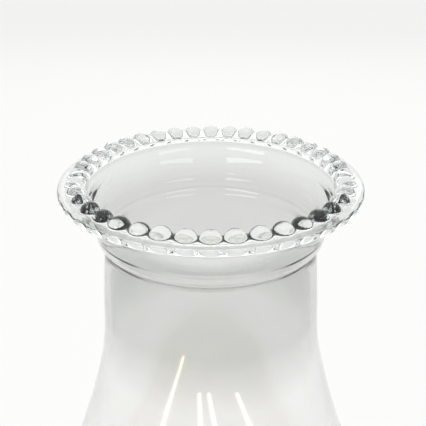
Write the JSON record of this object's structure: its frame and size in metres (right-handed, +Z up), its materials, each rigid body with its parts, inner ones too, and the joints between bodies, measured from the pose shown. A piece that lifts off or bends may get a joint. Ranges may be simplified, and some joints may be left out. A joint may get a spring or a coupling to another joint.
{
  "type": "oil lamp",
  "caption": "Table oil lamp with a footed clear glass font, a brass flat-wick burner and a clear glass chimney with a flared, beaded top.",
  "frame": {"origin": "centre of the foot, in the plane it rests on", "axes": "+Z up along the lamp's axis; +X towards the wick knob; -Y is the front"},
  "size_m": [0.126, 0.126, 0.431],
  "materials": {
    "font_glass": "clear pressed glass, fire polished, slightly wavy",
    "chimney_glass": "clear blown glass with a pressed, beaded and flared top",
    "plaster": "dry white plaster",
    "cork": "fine-grained composition cork, oiled",
    "collar_brass": "stamped brass, satin, a little dull",
    "burner_brass": "stamped brass, satin",
    "heat_brass": "brass, dulled and browned by heat",
    "wire_brass": "drawn brass wire, bright",
    "knob_brass": "stamped brass, polished where it is handled",
    "gallery_brass": "stamped and pierced brass, satin",
    "prong_brass": "spring brass strip, satin",
    "dome_brass": "spun brass, browned round the slot by the flame",
    "wick_cotton": "flat woven cotton, scorched along the top edge"
  },
  "bodies": {
    "font_assembly": {"font": "font_glass", "collar_plaster": "plaster", "font_collar": "collar_brass"},
    "washer": {"burner_washer": "cork"},
    "burner": {"thread_base": "burner_brass", "air_bowl": "burner_brass", "air_screen": "heat_brass", "wick_tube": "heat_brass", "wheel_housing": "burner_brass", "vent_tube": "burner_brass", "shaft_bearing": "burner_brass"},
    "wick_drive": {"wick_shaft": "wire_brass", "spur_wheels": "wire_brass", "wick_knob": "knob_brass", "knob_rivet": "wire_brass"},
    "wick": {"wick": "wick_cotton"},
    "gallery": {"gallery": "gallery_brass", "prong_rivets": "wire_brass", "burner_dome": "dome_brass", "dome_rivets": "wire_brass"},
    "prong_front_right": {"prong_front_right": "prong_brass"},
    "prong_back_right": {"prong_back_right": "prong_brass"},
    "prong_back_left": {"prong_back_left": "prong_brass"},
    "prong_front_left": {"prong_front_left": "prong_brass"},
    "chimney": {"chimney": "chimney_glass"}
  },
  "joints": [
    {"name": "burner_rise", "type": "slide", "parent": "font_assembly", "child": "washer", "axis": [0, 0, 1], "range_m": [0, 0.0082]},
    {"name": "burner_turn", "type": "hinge", "parent": "washer", "child": "burner", "pos_m": [0, 0, 0.19], "axis": [0, 0, 1], "range_deg": [0, 1440]},
    {"name": "gallery_lift", "type": "slide", "parent": "burner", "child": "gallery", "axis": [0, 0, 1], "range_m": [0, 0.045]},
    {"name": "chimney_lift", "type": "slide", "parent": "gallery", "child": "chimney", "axis": [0, 0, 1], "range_m": [0, 0.06]},
    {"name": "wick_knob_turn", "type": "hinge", "parent": "burner", "child": "wick_drive", "pos_m": [0, -0.006, 0.201], "axis": [1, 0, 0], "range_deg": [-150, 100]},
    {"name": "wick_slide", "type": "slide", "parent": "burner", "child": "wick", "axis": [0, 0, 1], "range_m": [-0.012, 0.008]},
    {"name": "prong_front_right_flex", "type": "hinge", "parent": "gallery", "child": "prong_front_right", "pos_m": [0.02963, -0.02963, 0.2155], "axis": [0.7071, 0.7071, 0], "range_deg": [0, 6], "stiffness_Nm_per_rad": 0.2},
    {"name": "prong_back_right_flex", "type": "hinge", "parent": "gallery", "child": "prong_back_right", "pos_m": [0.02963, 0.02963, 0.2155], "axis": [-0.7071, 0.7071, 0], "range_deg": [0, 6], "stiffness_Nm_per_rad": 0.2},
    {"name": "prong_back_left_flex", "type": "hinge", "parent": "gallery", "child": "prong_back_left", "pos_m": [-0.02963, 0.02963, 0.2155], "axis": [-0.7071, -0.7071, 0], "range_deg": [0, 6], "stiffness_Nm_per_rad": 0.2},
    {"name": "prong_front_left_flex", "type": "hinge", "parent": "gallery", "child": "prong_front_left", "pos_m": [-0.02963, -0.02963, 0.2155], "axis": [0.7071, -0.7071, 0], "range_deg": [0, 6], "stiffness_Nm_per_rad": 0.2}
  ],
  "couplings": [
    {"joint": "burner_rise", "follows": "burner_turn", "m_per_rad": 0.00031831},
    {"joint": "wick_knob_turn", "follows": "wick_slide", "rad_per_m": 217.39}
  ]
}
